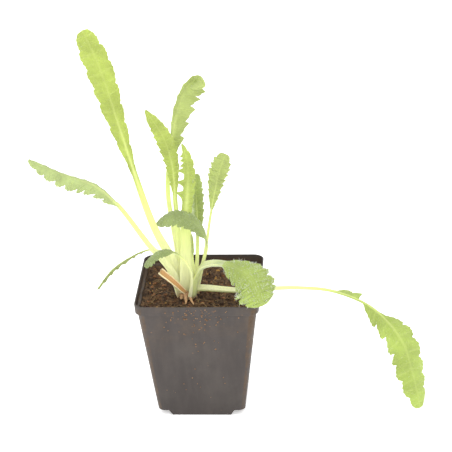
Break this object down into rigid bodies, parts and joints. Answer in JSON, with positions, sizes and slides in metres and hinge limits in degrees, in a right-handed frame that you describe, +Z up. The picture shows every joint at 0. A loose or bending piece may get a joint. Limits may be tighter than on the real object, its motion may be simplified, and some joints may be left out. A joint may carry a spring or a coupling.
{
  "type": "potted oriental poppy",
  "caption": "Young oriental poppy with long toothed hairy leaves fanning from one crown, in a square tapered nursery pot filled with compost.",
  "frame": {"origin": "centre of the pot's underside, on the surface that it stands on", "axes": "+Z up the pot's axis; the plant's best side faces -Y; the longest leaf hangs out towards +X"},
  "size_m": [0.2831, 0.1009, 0.28],
  "materials": {
    "pot": "satin recycled polypropylene, dusted with compost",
    "compost": "moist fibrous potting compost with bark",
    "crown": "matt woody crown",
    "dry_tissue": "dry, papery plant tissue",
    "toothed_centre_leaf": "soft translucent leaf with fine white hairs",
    "tall_left_leaf": "soft translucent leaf with fine white hairs",
    "hairy_front_leaf": "soft translucent leaf with fine white hairs",
    "long_right_leaf": "soft translucent leaf with fine white hairs",
    "left_arching_leaf": "soft translucent leaf with fine white hairs",
    "upright_leaf": "soft translucent leaf with fine white hairs",
    "tall_back_leaf": "soft translucent leaf with fine white hairs",
    "shaded_leaf": "soft translucent leaf with fine white hairs",
    "spoon_leaf": "soft translucent leaf with fine white hairs",
    "small_arching_leaf": "soft translucent leaf with fine white hairs",
    "curled_front_leaf": "soft translucent leaf with fine white hairs",
    "low_left_leaf": "soft translucent leaf with fine white hairs",
    "young_leaf": "soft translucent leaf with fine white hairs"
  },
  "bodies": {
    "root": {"pot": "pot", "compost": "compost", "crown": "crown", "toothed_centre_leaf": "toothed_centre_leaf", "tall_left_leaf": "tall_left_leaf", "hairy_front_leaf": "hairy_front_leaf", "long_right_leaf": "long_right_leaf", "left_arching_leaf": "left_arching_leaf", "upright_leaf": "upright_leaf", "tall_back_leaf": "tall_back_leaf", "shaded_leaf": "shaded_leaf", "spoon_leaf": "spoon_leaf", "small_arching_leaf": "small_arching_leaf", "curled_front_leaf": "curled_front_leaf", "low_left_leaf": "low_left_leaf", "young_leaf": "young_leaf", "cut_petiole": "dry_tissue", "dry_sheath": "dry_tissue"}
  },
  "joints": []
}
